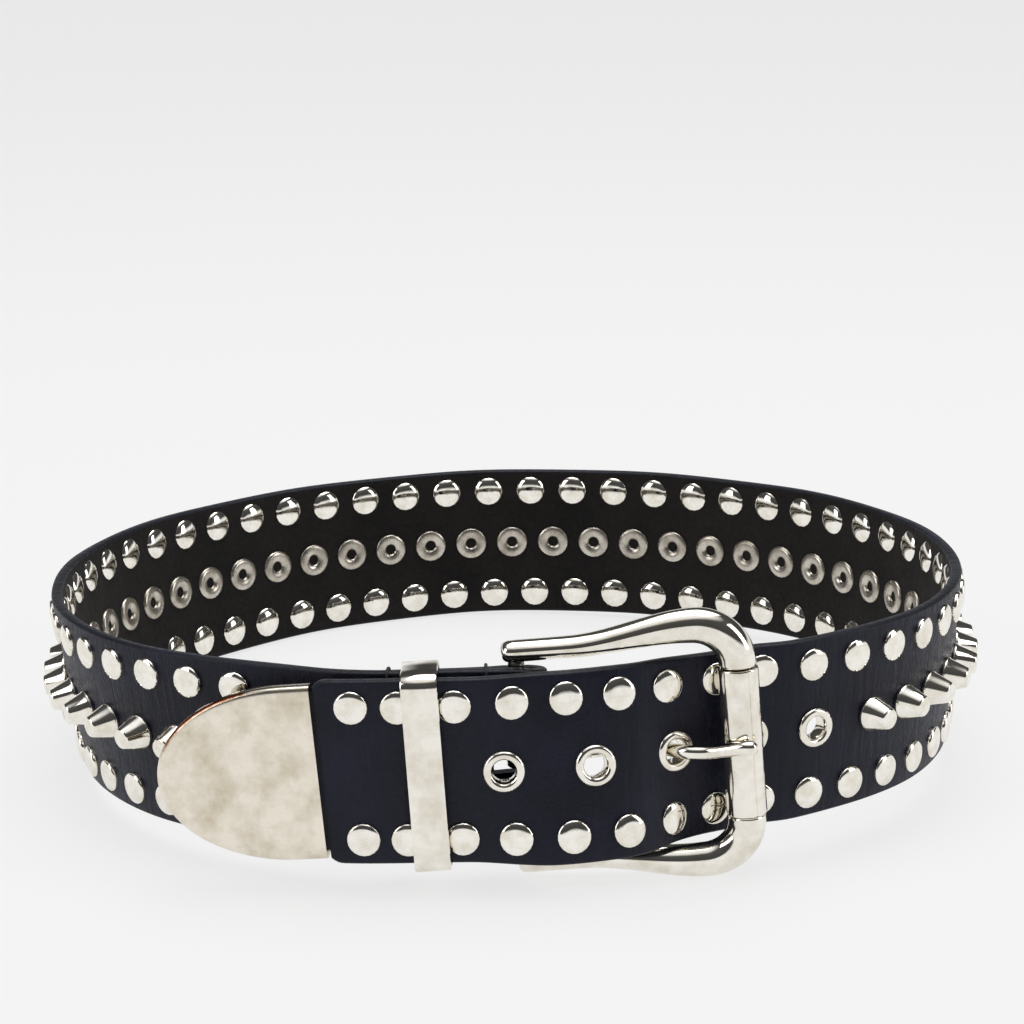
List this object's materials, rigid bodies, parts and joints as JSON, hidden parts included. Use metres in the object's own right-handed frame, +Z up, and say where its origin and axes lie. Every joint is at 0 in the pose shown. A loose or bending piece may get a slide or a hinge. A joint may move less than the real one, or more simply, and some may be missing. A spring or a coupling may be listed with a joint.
{
  "type": "studded belt",
  "caption": "Black leather belt with rows of metal studs, fastened with a roller buckle, standing on its edge as a closed loop with a metal keeper and a metal end cap.",
  "frame": {"origin": "middle of the belt's box, on the surface that the belt stands on", "axes": "+Z up across the strap's width, the buckle at the front towards -Y, the free end pointing to -X, the plain run of the strap at the back towards +Y"},
  "size_m": [0.2776, 0.2602, 0.0732],
  "materials": {
    "leather": "semi-matt black leather, worn brown-black on the inside",
    "nickel": "polished nickel plate with light wear",
    "bright_nickel": "bright nickel plate"
  },
  "bodies": {
    "belt": {"strap": "leather", "buckle_frame": "nickel", "prong": "nickel", "keeper": "nickel", "tip": "nickel", "eyelet_1": "nickel", "eyelet_2": "nickel", "eyelet_3": "nickel", "eyelet_4": "nickel", "eyelet_5": "nickel", "cone_stud_01": "bright_nickel", "cone_stud_02": "bright_nickel", "cone_stud_03": "bright_nickel", "cone_stud_04": "bright_nickel", "cone_stud_05": "bright_nickel", "cone_stud_06": "bright_nickel", "cone_stud_07": "bright_nickel", "cone_stud_08": "bright_nickel", "cone_stud_09": "bright_nickel", "cone_stud_10": "bright_nickel", "cone_stud_11": "bright_nickel", "cone_stud_12": "bright_nickel", "cone_stud_13": "bright_nickel", "cone_stud_14": "bright_nickel", "cone_stud_15": "bright_nickel", "cone_stud_16": "bright_nickel", "cone_stud_17": "bright_nickel", "cone_stud_18": "bright_nickel", "cone_stud_19": "bright_nickel", "cone_stud_20": "bright_nickel", "cone_stud_21": "bright_nickel", "cone_stud_22": "bright_nickel", "cone_stud_23": "bright_nickel", "cone_stud_24": "bright_nickel", "cone_stud_25": "bright_nickel", "cone_stud_26": "bright_nickel", "cone_stud_27": "bright_nickel", "cone_stud_28": "bright_nickel", "cone_stud_29": "bright_nickel", "cone_stud_30": "bright_nickel", "cone_stud_31": "bright_nickel", "cone_stud_32": "bright_nickel", "cone_stud_33": "bright_nickel", "cone_stud_34": "bright_nickel", "cone_stud_35": "bright_nickel", "cone_stud_36": "bright_nickel", "cone_stud_37": "bright_nickel", "cone_stud_38": "bright_nickel", "cone_stud_39": "bright_nickel", "cone_stud_40": "bright_nickel", "cone_stud_41": "bright_nickel", "cone_stud_42": "bright_nickel", "cone_stud_43": "bright_nickel"},
    "roller": {"roller": "nickel"}
  },
  "joints": [
    {"name": "roller_spin", "type": "hinge", "parent": "belt", "child": "roller", "pos_m": [0.06031, -0.11152, 0.03745], "axis": [-0.0725, 0.0362, 0.9967], "continuous": true}
  ]
}
